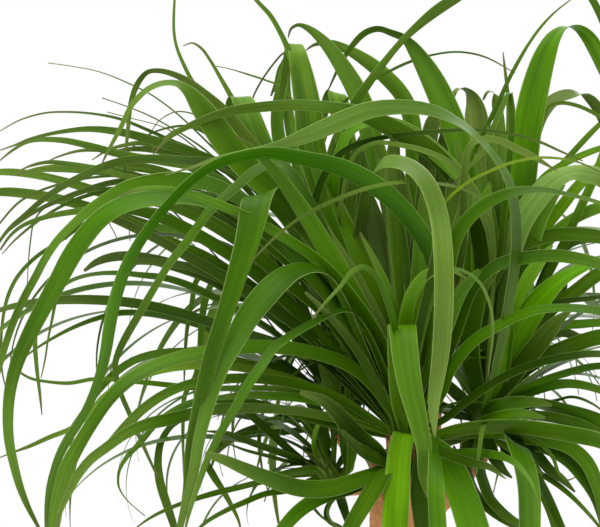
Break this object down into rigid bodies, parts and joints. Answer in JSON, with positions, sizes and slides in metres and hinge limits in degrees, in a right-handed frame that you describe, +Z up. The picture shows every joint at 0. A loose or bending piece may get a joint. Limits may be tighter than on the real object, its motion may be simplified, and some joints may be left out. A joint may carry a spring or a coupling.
{
  "type": "potted ponytail palm",
  "caption": "Potted palm-like house plant: long arching strap leaves in several heads on a forked trunk with a swollen base, standing in soil in a round tapered pot with a rim.",
  "frame": {"origin": "middle of the pot's flat base, on the surface it stands on", "axes": "+Z up along the trunk; -Y towards the picture's viewer"},
  "size_m": [0.658, 0.5494, 0.8434],
  "materials": {
    "pot_clay": "unglazed fired clay, matt",
    "potting_soil": "loose crumbly potting soil",
    "corky_bark": "dry fissured corky bark",
    "green_leaf": "satin strap leaf with fine lengthwise veins",
    "dry_sheath": "dry brown leaf sheath, papery"
  },
  "bodies": {
    "root": {"pot": "pot_clay", "soil": "potting_soil", "trunk": "corky_bark", "leaf_crown": "green_leaf"}
  },
  "joints": []
}
